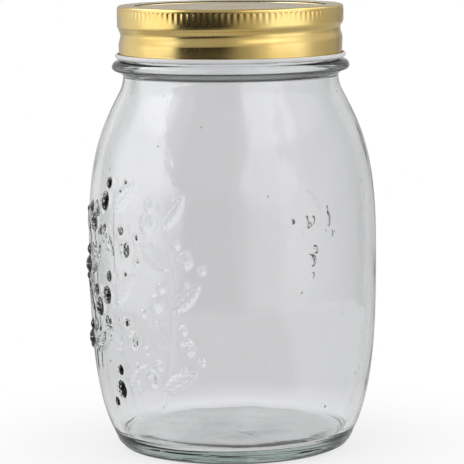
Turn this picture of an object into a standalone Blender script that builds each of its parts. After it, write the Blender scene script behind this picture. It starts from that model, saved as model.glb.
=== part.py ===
"""A one-litre preserving jar of clear glass, closed by a stamped disc and a gold screw band.

Lengths are in metres. The jar stands on the plane z = 0 and every piece is turned about the Z axis.
The front of the jar, where its relief begins, faces -Y.
"""

import math

import bmesh
import bpy
from mathutils import Matrix, Vector
from mathutils.geometry import interpolate_bezier

# Fits
CONTACT_GAP = 0.0003
THREAD_CLEARANCE = 0.0003
ROOT_CLEARANCE = 0.0007
DISC_CLEARANCE = 0.0002
CHANNEL_CLEARANCE = 0.0006
RING_CLEARANCE = 0.0005
BEAD_CLEARANCE = 0.0009

# Turned surfaces
TURN_STEPS = 48
AXIS_MERGE = 0.00001

# Glass body
JAR_HEIGHT = 0.1696
BODY_RADIUS = 0.0558
BODY_RADIUS_HEIGHT = 0.081
BODY_BULGE = 0.0085
GLASS_WALL = 0.0033
LOWER_SIDE_SHARES = (0.26, 0.36)
UPPER_SIDE_SHARES = (0.60, 0.25)

# Glass base
HEEL_HEIGHT = 0.007
HEEL_SLOPE = math.radians(64)
HEEL_REACH = 0.0078
BASE_RING_WIDTH = 0.0015
BASE_PUSH_UP = 0.0012
BASE_THICKNESS = 0.007
FLOOR_CROWN = 0.0015
FLOOR_CORNER = 0.012

# Neck and finish
SHOULDER_SLOPE = math.radians(27)
SHOULDER_FILLET = 0.014
NECK_LENGTH = 0.0014
NECK_PROUD = 0.0001
FINISH_RADIUS = 0.0414
FINISH_WALL = 0.0034
RIM_ROUNDING = 0.0012
BEAD_PROUD = 0.0032
BEAD_HALF_HEIGHT = 0.0025
BEAD_UNDERSIDE = 0.00164

# Thread
THREAD_PITCH = 0.00508
THREAD_HEIGHT = 0.00125
THREAD_RIDGE_RADIUS = 0.0016
THREAD_DROP = 0.0081
RIDGE_FIRST_ANGLE = math.radians(-34)
RIDGE_LAST_ANGLE = math.radians(380)
GROOVE_FIRST_ANGLE = math.radians(30)
GROOVE_LAST_ANGLE = math.radians(405)
THREAD_FADE = math.radians(36)
THREAD_FRONT = math.radians(270)
THREAD_END_SHARE = 0.1
GROOVE_HALF_WIDTH = 0.0025

# Sheet metal, sealing ring and disc
SHEET = 0.00028
RING_THICKNESS = 0.0006
DISC_LIP_DROP = 0.0007
DISC_COUNTERSINK = 0.0009
DISC_COUNTERSINK_WIDTH = 0.0018
DISC_STEP_WIDTH = 0.0006
DISC_PANEL_SLOPE = 0.0014
DISC_PANEL_DROP = 0.0001
DISC_BUTTON_RADIUS = 0.0095
DISC_BUTTON_SLOPE = 0.0025
DISC_BUTTON_HEIGHT = 0.0004

# Screw band
BAND_OVERHANG = 0.0008
BAND_RIM_HEIGHT = 0.0083
BAND_RIM_STEP = 0.00035
BAND_CORNER = 0.0011
BAND_TAIL = 0.00415
BAND_TUCK = 0.00025
BAND_TUCK_HEIGHT = 0.0012
BAND_CURL_HOLLOW = 0.00062
BAND_CURL_SWEEP = math.radians(265)
BAND_ROW = 0.00073

# Relief of two leafy stems with berries, laid out on the unrolled side
STEM_RADIUS = 0.0008
STEM_HEIGHT = 0.0004
STEM_POINTS = 9
STEM_TURNS = (
    # turn from the front at the foot and at the tip, and the bow between them
    (math.radians(44), math.radians(54), math.radians(3)),
    (math.radians(30), math.radians(30), math.radians(-6)),
)
STEM_HEIGHT_SHARES = (
    # foot and tip, from the heel to the shoulder
    (0.08, 0.715),
    (0.11, 0.67),
)
LEAVES_A_STEM = 5
LEAF_LENGTH = 0.015
LEAF_WIDTH = 0.0075
LEAF_HEIGHT = 0.0007
LEAF_LEAN = math.radians(48)
BERRY_RADIUS = 0.0036
BERRY_HEIGHT = 0.0015
BERRY_STALK = 0.0072
BERRY_LEAN = math.radians(70)

# Derived radii
HEEL_RADIUS = BODY_RADIUS - BODY_BULGE
BASE_RING_RADIUS = HEEL_RADIUS - HEEL_REACH
MOUTH_RADIUS = FINISH_RADIUS - FINISH_WALL
NECK_RADIUS = FINISH_RADIUS + NECK_PROUD
THREAD_CREST_RADIUS = FINISH_RADIUS + THREAD_HEIGHT
BEAD_RADIUS = THREAD_CREST_RADIUS + BEAD_PROUD
SKIRT_RADIUS = THREAD_CREST_RADIUS + THREAD_CLEARANCE + SHEET
GROOVE_RADIUS = FINISH_RADIUS + ROOT_CLEARANCE + SHEET
BAND_RADIUS = SKIRT_RADIUS + BAND_RIM_STEP
BAND_OPENING_RADIUS = MOUTH_RADIUS - BAND_OVERHANG
DISC_RADIUS = FINISH_RADIUS + ROOT_CLEARANCE - DISC_CLEARANCE
DISC_CHANNEL_RADIUS = MOUTH_RADIUS - CHANNEL_CLEARANCE
RING_INNER_RADIUS = DISC_CHANNEL_RADIUS + RING_CLEARANCE
RING_OUTER_RADIUS = DISC_RADIUS - SHEET - RING_CLEARANCE

# Derived heights, those of the closure above the rim and those of the glass above the base
DISC_TOP = CONTACT_GAP + RING_THICKNESS + CONTACT_GAP + SHEET
BAND_TOP = DISC_TOP + CONTACT_GAP + SHEET
GROOVE_FOOT = -THREAD_DROP - THREAD_PITCH * (THREAD_FRONT - GROOVE_FIRST_ANGLE) / math.tau
BAND_FOOT = GROOVE_FOOT - GROOVE_HALF_WIDTH - BAND_TAIL
BEAD_HEIGHT = JAR_HEIGHT + BAND_FOOT - BEAD_CLEARANCE - BEAD_HALF_HEIGHT
SHOULDER_HEIGHT = BEAD_HEIGHT - BEAD_UNDERSIDE - NECK_LENGTH


def clear_scene():
    for obj in list(bpy.data.objects):
        bpy.data.objects.remove(obj, do_unlink=True)


def new_collection(name):
    collection = bpy.data.collections.new(name)
    bpy.context.scene.collection.children.link(collection)
    return collection


def principled(name, colour, roughness, metallic=0.0, transmission=0.0, coat=0.0):
    material = bpy.data.materials.new(name)
    material.use_nodes = True
    shader = material.node_tree.nodes["Principled BSDF"]
    shader.inputs["Base Color"].default_value = (*colour, 1.0)
    shader.inputs["Roughness"].default_value = roughness
    shader.inputs["Metallic"].default_value = metallic
    shader.inputs["Transmission Weight"].default_value = transmission
    shader.inputs["Coat Weight"].default_value = coat
    material.diffuse_color = (*colour, 1.0)
    return material


def smooth(mesh):
    mesh.shade_smooth()
    mesh.set_sharp_from_angle(angle=math.radians(35))


def profile_object(name, points, collection):
    """An open outline of (radius, height) points in the XZ plane, ready to be turned."""
    mesh = bpy.data.meshes.new(name)
    corners = [(radius, 0, height) for radius, height in points]
    mesh.from_pydata(corners, [(i, i + 1) for i in range(len(corners) - 1)], [])
    obj = bpy.data.objects.new(name, mesh)
    collection.objects.link(obj)
    return obj


def turn(obj):
    """Turns an outline about Z into a closed or open surface."""
    screw = obj.modifiers.new("Turn", "SCREW")
    screw.axis = "Z"
    screw.angle = math.tau
    screw.steps = TURN_STEPS
    screw.render_steps = TURN_STEPS
    screw.use_merge_vertices = True
    screw.merge_threshold = AXIS_MERGE
    screw.use_smooth_shade = True


def thicken(obj, inside_slot=0):
    """Gives an outward-facing surface the sheet's thickness on its inner side."""
    solidify = obj.modifiers.new("Sheet", "SOLIDIFY")
    solidify.thickness = SHEET
    solidify.offset = -1
    solidify.use_even_offset = True
    solidify.material_offset = inside_slot
    solidify.material_offset_rim = inside_slot


def curve_points(start, start_handle, end_handle, end, steps):
    """Points of a cubic curve after its start, as (radius, height)."""
    corners = [Vector((*point, 0)) for point in (start, start_handle, end_handle, end)]
    found = interpolate_bezier(*corners, steps + 1)
    return [(point.x, point.y) for point in found[1:]]


def arc_points(centre, radius, first, last, steps):
    """Points of an arc from angle first to last, as (radius, height)."""
    angles = [first + (last - first) * step / steps for step in range(steps + 1)]
    return [(centre[0] + radius * math.cos(a), centre[1] + radius * math.sin(a)) for a in angles]


def along(point, angle, length):
    return (point[0] + length * math.cos(angle), point[1] + length * math.sin(angle))


def body_outline():
    """The outside of the glass from the neck down to the foot of the heel."""
    fillet_centre = (NECK_RADIUS + SHOULDER_FILLET, SHOULDER_HEIGHT)
    fillet = arc_points(fillet_centre, SHOULDER_FILLET, math.pi, math.pi + SHOULDER_SLOPE, 3)
    shoulder_run = math.radians(-90) + SHOULDER_SLOPE
    widest = (BODY_RADIUS, BODY_RADIUS_HEIGHT)
    heel = (HEEL_RADIUS, HEEL_HEIGHT)
    foot = (BASE_RING_RADIUS, 0)
    upper = fillet[-1][1] - widest[1]
    lower = widest[1] - heel[1]
    outline = list(fillet)
    outline += curve_points(
        fillet[-1],
        along(fillet[-1], shoulder_run, UPPER_SIDE_SHARES[1] * upper),
        (BODY_RADIUS, widest[1] + UPPER_SIDE_SHARES[0] * upper),
        widest,
        8,
    )
    outline += curve_points(
        widest,
        (BODY_RADIUS, widest[1] - LOWER_SIDE_SHARES[1] * lower),
        along(heel, HEEL_SLOPE, LOWER_SIDE_SHARES[0] * lower),
        heel,
        8,
    )
    outline += curve_points(
        heel,
        along(heel, HEEL_SLOPE, -HEEL_REACH / 2),
        (foot[0] + 2 * HEEL_REACH / 3, 0),
        foot,
        3,
    )
    return outline


def inner_outline():
    """The inside of the glass from the middle of the floor up to the mouth."""
    heel_normal = HEEL_SLOPE + math.radians(90)
    heel = along((HEEL_RADIUS, HEEL_HEIGHT), heel_normal, GLASS_WALL)
    widest = (BODY_RADIUS - GLASS_WALL, BODY_RADIUS_HEIGHT)
    floor_middle = (0, BASE_THICKNESS + FLOOR_CROWN)
    floor_edge = (heel[0] - FLOOR_CORNER, BASE_THICKNESS)
    fillet_centre = (NECK_RADIUS + SHOULDER_FILLET, SHOULDER_HEIGHT)
    fillet_radius = fillet_centre[0] - MOUTH_RADIUS
    fillet = arc_points(fillet_centre, fillet_radius, math.pi + SHOULDER_SLOPE, math.pi, 3)
    lower = widest[1] - heel[1]
    upper = fillet[0][1] - widest[1]
    outline = [floor_middle]
    outline += curve_points(
        floor_middle,
        (floor_edge[0] / 2, floor_middle[1]),
        (2 * floor_edge[0] / 3, floor_edge[1]),
        floor_edge,
        3,
    )
    outline += curve_points(
        floor_edge,
        (floor_edge[0] + 2 * FLOOR_CORNER / 3, floor_edge[1]),
        along(heel, HEEL_SLOPE, -FLOOR_CORNER / 3),
        heel,
        3,
    )
    outline += curve_points(
        heel,
        along(heel, HEEL_SLOPE, LOWER_SIDE_SHARES[0] * lower),
        (widest[0], widest[1] - LOWER_SIDE_SHARES[1] * lower),
        widest,
        6,
    )
    shoulder_run = math.radians(-90) + SHOULDER_SLOPE
    outline += curve_points(
        widest,
        (widest[0], widest[1] + UPPER_SIDE_SHARES[0] * upper),
        along(fillet[0], shoulder_run, UPPER_SIDE_SHARES[1] * upper),
        fillet[0],
        6,
    )
    return outline + fillet[1:]


def finish_outline():
    """The rim, the threaded wall and the transfer bead, from the inside of the rim down to the neck."""
    inner_corner = (MOUTH_RADIUS + RIM_ROUNDING, JAR_HEIGHT - RIM_ROUNDING)
    outer_corner = (FINISH_RADIUS - RIM_ROUNDING, JAR_HEIGHT - RIM_ROUNDING)
    bead_centre = (BEAD_RADIUS - BEAD_HALF_HEIGHT, BEAD_HEIGHT)
    quarter = math.radians(90)
    outline = arc_points(inner_corner, RIM_ROUNDING, 2 * quarter, quarter, 3)
    outline += arc_points(outer_corner, RIM_ROUNDING, quarter, 0, 3)
    outline += [(FINISH_RADIUS, BEAD_HEIGHT + BEAD_HALF_HEIGHT)]
    outline += arc_points(bead_centre, BEAD_HALF_HEIGHT, quarter, 0, 3)
    flatter = BEAD_UNDERSIDE / BEAD_HALF_HEIGHT
    for radius, height in arc_points(bead_centre, BEAD_HALF_HEIGHT, 0, -quarter, 3)[1:]:
        outline += [(radius, BEAD_HEIGHT + flatter * (height - BEAD_HEIGHT))]
    outline += [(NECK_RADIUS, BEAD_HEIGHT - BEAD_UNDERSIDE)]
    return outline


def underside_outline():
    """The bearing ring and the raised middle of the base, from the ring inwards."""
    ring_inner = (BASE_RING_RADIUS - BASE_RING_WIDTH, 0)
    middle = (0, BASE_PUSH_UP)
    return [ring_inner] + curve_points(
        ring_inner, (2 * ring_inner[0] / 3, 0), (ring_inner[0] / 4, BASE_PUSH_UP), middle, 3
    )


def groove_height(angle):
    """Height of the middle of the band's rolled thread at an angle about Z, above the rim."""
    return THREAD_PITCH * (angle - THREAD_FRONT) / math.tau - THREAD_DROP


def ridge_height(angle):
    """Height of the middle of the jar's thread, half a pitch above the band's."""
    return groove_height(angle) + THREAD_PITCH / 2


def fade(angle, first, last):
    """Rises from 0 to 1 at the first end of a thread and falls to 0 at the last."""
    rise = min((angle - first) / THREAD_FADE, (last - angle) / THREAD_FADE, 1)
    return math.sin(max(rise, 0) * math.pi / 2)


def tube_mesh(name, points, radii, depth, collection):
    """A tube along points, with a share of its full radius at each, as a closed mesh."""
    curve = bpy.data.curves.new(name, "CURVE")
    curve.dimensions = "3D"
    curve.bevel_depth = depth
    curve.bevel_resolution = 2
    curve.use_fill_caps = True
    spline = curve.splines.new("POLY")
    spline.points.add(len(points) - 1)
    for spline_point, point, radius in zip(spline.points, points, radii):
        spline_point.co = (*point, 1)
        spline_point.radius = radius
    tube = bpy.data.objects.new(name + "_curve", curve)
    collection.objects.link(tube)
    bpy.context.view_layer.update()
    evaluated = tube.evaluated_get(bpy.context.evaluated_depsgraph_get())
    mesh = bpy.data.meshes.new_from_object(evaluated)
    bpy.data.objects.remove(tube, do_unlink=True)
    bm = bmesh.new()
    bm.from_mesh(mesh)
    bmesh.ops.remove_doubles(bm, verts=bm.verts, dist=AXIS_MERGE)
    bm.to_mesh(mesh)
    bm.free()
    return mesh


def shaper_object(name, mesh, collection):
    """A shape that is joined to the glass and isn't a piece itself."""
    obj = bpy.data.objects.new(name, mesh)
    obj.hide_render = True
    obj.display_type = "WIRE"
    collection.objects.link(obj)
    return obj


def thread_ridge(collection):
    """The jar's thread: a helical tube that runs out at both ends."""
    steps = round((RIDGE_LAST_ANGLE - RIDGE_FIRST_ANGLE) * TURN_STEPS / (math.tau))
    centre_radius = THREAD_CREST_RADIUS - THREAD_RIDGE_RADIUS
    points, radii = [], []
    for step in range(steps + 1):
        angle = RIDGE_FIRST_ANGLE + (RIDGE_LAST_ANGLE - RIDGE_FIRST_ANGLE) * step / steps
        height = JAR_HEIGHT + ridge_height(angle)
        points.append((centre_radius * math.cos(angle), centre_radius * math.sin(angle), height))
        radii.append(max(fade(angle, RIDGE_FIRST_ANGLE, RIDGE_LAST_ANGLE), THREAD_END_SHARE))
    mesh = tube_mesh("thread_ridge", points, radii, THREAD_RIDGE_RADIUS, collection)
    return shaper_object("thread_ridge", mesh, collection)


def side_at(outline, height):
    """Radius of the body at a height, and the lean of its outward normal below the horizontal."""
    for (upper_radius, upper), (lower_radius, lower) in zip(outline, outline[1:]):
        if lower <= height <= upper:
            share = (height - lower) / (upper - lower)
            lean = math.atan2(lower_radius - upper_radius, upper - lower)
            return lower_radius + (upper_radius - lower_radius) * share, lean
    return outline[-1][0], 0


def on_side(outline, spot, tilt=0):
    """Places a bump at (turn from the front, height): X outward, Z up the side, tilted about X."""
    turned, height = spot
    radius, lean = side_at(outline, height)
    about = Matrix.Rotation(math.radians(-90) - turned, 4, "Z")
    out = Matrix.Translation((radius, 0, height))
    return about @ out @ Matrix.Rotation(-lean, 4, "Y") @ Matrix.Rotation(tilt, 4, "X")


def stem_spot(turns, height_shares, share):
    """The (turn, height) at a share of a bowed stem's length, and the stem's direction there."""
    foot_turn, tip_turn, bow = turns
    foot, tip = (HEEL_HEIGHT + (SHOULDER_HEIGHT - HEEL_HEIGHT) * end for end in height_shares)
    turned = foot_turn + (tip_turn - foot_turn) * share + bow * math.sin(math.pi * share)
    turn_slope = tip_turn - foot_turn + bow * math.pi * math.cos(math.pi * share)
    direction = math.atan2(BODY_RADIUS * turn_slope, tip - foot)
    return (turned, foot + (tip - foot) * share), direction


def step_from(spot, direction, length):
    """The spot at a length from another, measured on the unrolled side."""
    turned, height = spot
    return turned + length * math.sin(direction) / BODY_RADIUS, height + length * math.cos(direction)


def add_bump(bm, place, height, width, length):
    shape = place @ Matrix.Diagonal((height, width / 2, length / 2, 1))
    bmesh.ops.create_uvsphere(bm, u_segments=8, v_segments=6, radius=1, matrix=shape)


def relief(collection):
    """Stems, leaves and berries, each kind a shape of its own so that none crosses itself."""
    outline = body_outline()
    stems, leaves, berries = bmesh.new(), bmesh.new(), bmesh.new()
    for stem in zip(STEM_TURNS, STEM_HEIGHT_SHARES):
        points = []
        for i in range(STEM_POINTS):
            spot, _ = stem_spot(*stem, i / (STEM_POINTS - 1))
            sunk = on_side(outline, spot) @ Vector((STEM_HEIGHT - STEM_RADIUS, 0, 0))
            points.append(sunk)
        tube = tube_mesh("stem", points, [1] * STEM_POINTS, STEM_RADIUS, collection)
        stems.from_mesh(tube)
        bpy.data.meshes.remove(tube)
        for i in range(LEAVES_A_STEM):
            side = 1 if i % 2 else -1
            spot, direction = stem_spot(*stem, (i + 0.5) / LEAVES_A_STEM)
            lean = direction + side * LEAF_LEAN
            middle = step_from(spot, lean, LEAF_LENGTH / 2)
            add_bump(leaves, on_side(outline, middle, lean), LEAF_HEIGHT, LEAF_WIDTH, LEAF_LENGTH)
            berry = step_from(spot, direction - side * BERRY_LEAN, BERRY_STALK)
            berry_place = on_side(outline, berry)
            add_bump(berries, berry_place, BERRY_HEIGHT, 2 * BERRY_RADIUS, 2 * BERRY_RADIUS)
    shapers = []
    for name, bm in (("relief_stems", stems), ("relief_leaves", leaves), ("relief_berries", berries)):
        mesh = bpy.data.meshes.new(name)
        bm.to_mesh(mesh)
        bm.free()
        shapers.append(shaper_object(name, mesh, collection))
    return shapers


def glass_jar(parts, shapers):
    outline = inner_outline() + finish_outline() + body_outline() + underside_outline()
    obj = profile_object("glass_jar", outline, parts)
    turn(obj)
    for shaper in [thread_ridge(shapers), *relief(shapers)]:
        union = obj.modifiers.new(shaper.name, "BOOLEAN")
        union.operation = "UNION"
        union.solver = "EXACT"
        union.object = shaper
    glass = principled("clear_glass", (0.93, 0.95, 0.94), 0.02, transmission=1.0)
    obj.data.materials.append(glass)
    return obj


def sealing_ring(parts, closure):
    """A flat ring of compound with rounded edges, just above the rim."""
    low = CONTACT_GAP
    middle = low + RING_THICKNESS / 2
    half = RING_THICKNESS / 2
    quarter = math.radians(90)
    outline = arc_points((RING_INNER_RADIUS + half, middle), half, 3 * quarter, quarter, 4)
    outline += arc_points((RING_OUTER_RADIUS - half, middle), half, quarter, -quarter, 4)
    obj = profile_object("sealing_ring", outline + outline[:1], parts)
    turn(obj)
    obj.parent = closure
    obj.data.materials.append(principled("sealing_compound", (0.62, 0.20, 0.11), 0.55))
    return obj


def lid_disc(parts, closure):
    """The stamped disc: a panel with a button, a channel inside the mouth, a flat seat and a lip."""
    panel = DISC_TOP - DISC_PANEL_DROP
    sunk = DISC_TOP - DISC_COUNTERSINK
    sunk_outer = DISC_CHANNEL_RADIUS - DISC_STEP_WIDTH
    sunk_inner = sunk_outer - DISC_COUNTERSINK_WIDTH
    button = panel + DISC_BUTTON_HEIGHT
    outline = [
        (0, button),
        (DISC_BUTTON_RADIUS - DISC_BUTTON_SLOPE, button),
        (DISC_BUTTON_RADIUS, panel),
        (sunk_inner - DISC_PANEL_SLOPE, panel),
        (sunk_inner, sunk),
        (sunk_outer, sunk),
        (DISC_CHANNEL_RADIUS, DISC_TOP),
    ]
    lip_centre = (DISC_RADIUS - DISC_LIP_DROP, DISC_TOP - DISC_LIP_DROP)
    outline += arc_points(lip_centre, DISC_LIP_DROP, math.radians(90), 0, 4)
    obj = profile_object("lid_disc", outline, parts)
    turn(obj)
    thicken(obj)
    obj.parent = closure
    obj.data.materials.append(principled("disc_lacquer", (0.80, 0.60, 0.25), 0.25, 1.0, coat=0.6))
    return obj


def band_outline():
    """The gold face of the band from the edge of its opening to the end of its outward curl."""
    corner = (BAND_RADIUS - BAND_CORNER, BAND_TOP - BAND_CORNER)
    rim_foot = BAND_TOP - BAND_RIM_HEIGHT
    thread_top = groove_height(GROOVE_LAST_ANGLE) + GROOVE_HALF_WIDTH
    thread_foot = GROOVE_FOOT - GROOVE_HALF_WIDTH
    curl_height = BAND_FOOT + SHEET + BAND_CURL_HOLLOW
    curl_start = SKIRT_RADIUS - BAND_TUCK
    outline = [(BAND_OPENING_RADIUS, BAND_TOP)]
    outline += arc_points(corner, BAND_CORNER, math.radians(90), 0, 4)
    rows = round((thread_top - thread_foot) / BAND_ROW)
    for row in range(rows + 1):
        height = thread_top + (thread_foot - thread_top) * row / rows
        outline.append((BAND_RADIUS if height > rim_foot else SKIRT_RADIUS, height))
    outline.append((SKIRT_RADIUS, curl_height + BAND_TUCK_HEIGHT))
    curl_centre = (curl_start + BAND_CURL_HOLLOW, curl_height)
    outline += arc_points(curl_centre, BAND_CURL_HOLLOW, math.pi, math.pi + BAND_CURL_SWEEP, 7)
    return outline


def groove_share(angle, height):
    """How deep the rolled thread is at a point of the band, from 0 on the plain wall to 1."""
    deepest = 0
    for whole_turns in range(-1, 2):
        turned = angle + math.tau * whole_turns
        off_middle = abs(height - groove_height(turned)) / GROOVE_HALF_WIDTH
        if off_middle < 1:
            dip = math.cos(off_middle * math.pi / 2) ** 2
            deepest = max(deepest, dip * fade(turned, GROOVE_FIRST_ANGLE, GROOVE_LAST_ANGLE))
    return deepest


def screw_band(parts, closure):
    """The sheet-metal band: the outline is spun about Z and the thread is pressed into it."""
    bm = bmesh.new()
    corners = [bm.verts.new((radius, 0, height)) for radius, height in band_outline()]
    edges = [bm.edges.new(pair) for pair in zip(corners, corners[1:])]
    bmesh.ops.spin(
        bm,
        geom=corners + edges,
        cent=(0, 0, 0),
        axis=(0, 0, 1),
        angle=math.tau,
        steps=TURN_STEPS,
        use_merge=True,
    )
    for vert in bm.verts:
        radius = math.hypot(vert.co.x, vert.co.y)
        angle = math.atan2(vert.co.y, vert.co.x) % (math.tau)
        depth = groove_share(angle, vert.co.z) * (radius - GROOVE_RADIUS)
        vert.co.xy *= (radius - depth) / radius
    mesh = bpy.data.meshes.new("screw_band")
    bm.to_mesh(mesh)
    bm.free()
    obj = bpy.data.objects.new("screw_band", mesh)
    parts.objects.link(obj)
    smooth(mesh)
    thicken(obj, inside_slot=1)
    obj.parent = closure
    mesh.materials.append(principled("gold_lacquer", (0.83, 0.62, 0.25), 0.22, 1.0, coat=0.6))
    mesh.materials.append(principled("white_lacquer", (0.86, 0.86, 0.86), 0.35))
    return obj


def main():
    clear_scene()
    parts = new_collection("preserving_jar")
    shapers = new_collection("jar_shapers")
    closure = bpy.data.objects.new("closure_seat", None)
    closure.location = (0, 0, JAR_HEIGHT)
    parts.objects.link(closure)
    glass_jar(parts, shapers)
    sealing_ring(parts, closure)
    lid_disc(parts, closure)
    screw_band(parts, closure)


if __name__ == "__main__":
    main()
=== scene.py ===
"""Dresses the preserving jar: moulded glass with a leaf and berry relief, the fluted gold screw band,
the stamped disc and its sealing ring, and the pale studio that the jar stands in.

Lengths are in metres and angles in radians. Every piece is turned about the Z axis. A turn is an angle
round the jar from its front, -Y, towards its left, -X. An outline is a list of (radius, height) points.
"""

import math

import bmesh
import bpy
from bpy.props import FloatProperty, FloatVectorProperty, IntProperty, PointerProperty
from mathutils import Matrix, Vector, noise
from mathutils.geometry import interpolate_bezier


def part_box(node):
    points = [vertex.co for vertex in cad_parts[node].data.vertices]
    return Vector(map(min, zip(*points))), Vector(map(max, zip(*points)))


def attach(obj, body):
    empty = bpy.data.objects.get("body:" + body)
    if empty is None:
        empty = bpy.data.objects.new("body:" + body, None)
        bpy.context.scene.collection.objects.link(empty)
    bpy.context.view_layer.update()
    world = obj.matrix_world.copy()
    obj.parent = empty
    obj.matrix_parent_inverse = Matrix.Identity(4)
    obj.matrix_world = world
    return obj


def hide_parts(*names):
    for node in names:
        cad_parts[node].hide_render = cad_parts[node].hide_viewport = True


bl_info = {
    "name": "Preserving Jar",
    "version": (1, 0, 0),
    "blender": (4, 5, 0),
    "location": "View3D > Sidebar > Jar",
    "description": "Models a glass preserving jar with a fluted gold screw band",
    "category": "Add Mesh",
}

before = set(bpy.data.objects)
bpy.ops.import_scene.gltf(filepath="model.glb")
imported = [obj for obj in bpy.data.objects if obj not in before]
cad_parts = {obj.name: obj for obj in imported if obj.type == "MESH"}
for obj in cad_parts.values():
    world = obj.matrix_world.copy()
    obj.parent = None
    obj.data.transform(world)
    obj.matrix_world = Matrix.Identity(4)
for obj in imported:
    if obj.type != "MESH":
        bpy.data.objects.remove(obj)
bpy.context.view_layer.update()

QUARTER = math.radians(90)
GLASS_LOW, GLASS_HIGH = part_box("glass_jar")
RING_LOW, RING_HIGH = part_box("sealing_ring")
DISC_LOW, DISC_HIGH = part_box("lid_disc")
BAND_LOW, BAND_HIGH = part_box("screw_band")

# Places on the glass, from its base and its rim
JAR_HEIGHT = GLASS_HIGH.z
BODY_RADIUS = GLASS_HIGH.x
WIDEST_HEIGHT = 0.081
FOOT_RADIUS = 0.0395
HEEL_RUN = 0.0078
HEEL_HEIGHT = 0.007
HEEL_SLOPE = math.radians(64)
SHOULDER_HEIGHT = JAR_HEIGHT - 0.02458
SHOULDER_SLOPE = math.radians(27)
NECK_RADIUS = 0.0415
NECK_FILLET = 0.014
MOUTH_RADIUS = 0.038
RIM_RADIUS = 0.0012
BEAD_HEIGHT = JAR_HEIGHT - 0.02154
BEAD_HALF_HEIGHT = 0.0025
POLE_MERGE = 0.000001

# The thread, which the band's groove follows half a pitch lower
THREAD_PITCH = 0.00508
THREAD_DROP = 0.0081
THREAD_FRONT = math.radians(270)
THREAD_FADE = math.radians(36)
RIDGE_ENDS = (math.radians(-34), math.radians(380))
GROOVE_ENDS = (math.radians(30), math.radians(405))

# Relief on the unrolled side: the turns of a stem's foot and tip and its bow in degrees, the shares
# of the height from heel to shoulder where it starts and ends, its size and its leaves
STEMS = (
    (44, 54, 3, 0.08, 0.715, 1.0, 5),
    (30, 30, -6, 0.11, 0.67, 1.0, 5),
    (75, 79, -4, 0.19, 0.63, 1.0, 4),
    (-154, -138, 3, 0.42, 0.58, 0.85, 3),
)
LEAF_LEAN = math.radians(48)
BERRY_LEAN = math.radians(70)

# The berries beside each leaf: the share of the leaf's stretch of stem where they grow, their lean
# from the stem, their distance from it in berries' radii, and the shares of their radius and height
BERRIES = (
    (0.5, -BERRY_LEAN, 2.0, 1.0, 1.0),
    (0.5, -BERRY_LEAN - 0.5, 3.6, 0.5, 0.6),
    (0.95, -BERRY_LEAN, 1.3, 0.62, 0.7),
    (0.95, BERRY_LEAN, 1.9, 0.36, 0.45),
)

# The photograph's camera
CAMERA_PLACE = (0, -0.9934, 0.2157)
CAMERA_FALL = math.radians(7.593)
CAMERA_ROLL = math.radians(-0.612)
LENS_MM = 199.72


class GlassSettings(bpy.types.PropertyGroup):
    """Sizes and colours of the moulded glass."""

    wall: FloatProperty(
        name="Wall", description="Thickness of the side", default=0.0033, unit="LENGTH", precision=5
    )
    base: FloatProperty(
        name="Base", description="Height of the floor's edge", default=0.007, unit="LENGTH", precision=5
    )
    push_up: FloatProperty(
        name="Push-up", description="Rise of the base's middle", default=0.0012, unit="LENGTH", precision=5
    )
    crown: FloatProperty(
        name="Crown", description="Rise of the floor's middle", default=0.0015, unit="LENGTH", precision=5
    )
    ripple: FloatProperty(
        name="Ripple",
        description="Unevenness of the inner wall",
        default=0.00016,
        unit="LENGTH",
        precision=5,
    )
    stem: FloatProperty(
        name="Stem", description="Half width of a relief stem", default=0.0011, unit="LENGTH", precision=5
    )
    leaf_length: FloatProperty(
        name="Leaf length", description="Length of a relief leaf", default=0.015, unit="LENGTH", precision=5
    )
    leaf_width: FloatProperty(
        name="Leaf width", description="Width of a relief leaf", default=0.0075, unit="LENGTH", precision=5
    )
    leaf_height: FloatProperty(
        name="Leaf height", description="Relief of a leaf", default=0.0005, unit="LENGTH", precision=5
    )
    berry: FloatProperty(
        name="Berry", description="Radius of a relief berry", default=0.0036, unit="LENGTH", precision=5
    )
    berry_height: FloatProperty(
        name="Berry height", description="Relief of a berry", default=0.0015, unit="LENGTH", precision=5
    )
    tint: FloatVectorProperty(
        name="Tint", description="Colour of the glass", subtype="COLOR", default=(0.965, 0.96, 0.972)
    )
    depth_tint: FloatVectorProperty(
        name="Depth tint",
        description="Colour that thick glass turns to",
        subtype="COLOR",
        default=(0.75, 0.8, 0.775),
    )
    depth_density: FloatProperty(
        name="Depth density", description="Strength of the depth tint", default=42.0
    )


class BandSettings(bpy.types.PropertyGroup):
    """Sizes and colours of the screw band."""

    sheet: FloatProperty(
        name="Sheet", description="Thickness of the tinplate", default=0.00028, unit="LENGTH", precision=5
    )
    flutes: IntProperty(name="Flutes", description="Pressed flutes round the rim", default=114)
    flute_depth: FloatProperty(
        name="Flute depth", description="Depth of a flute", default=0.00019, unit="LENGTH", precision=5
    )
    gold: FloatVectorProperty(
        name="Gold", description="Colour of the lacquer", subtype="COLOR", default=(0.82, 0.62, 0.24)
    )
    white: FloatVectorProperty(
        name="White",
        description="Colour of the inner lacquer",
        subtype="COLOR",
        default=(0.72, 0.725, 0.73),
    )
    roughness: FloatProperty(name="Roughness", description="Blur of the gold's gloss", default=0.2)


class DiscSettings(bpy.types.PropertyGroup):
    """Sizes and colours of the disc and its sealing ring."""

    button_height: FloatProperty(
        name="Button", description="Rise of the safety button", default=0.0004, unit="LENGTH", precision=5
    )
    countersink: FloatProperty(
        name="Countersink", description="Depth of the channel", default=0.0009, unit="LENGTH", precision=5
    )
    gold: FloatVectorProperty(
        name="Gold", description="Colour of the disc's lacquer", subtype="COLOR", default=(0.82, 0.69, 0.42)
    )
    roughness: FloatProperty(name="Roughness", description="Blur of the disc's gloss", default=0.25)
    compound: FloatVectorProperty(
        name="Compound", description="Colour of the seal", subtype="COLOR", default=(0.35, 0.06, 0.03)
    )


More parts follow.
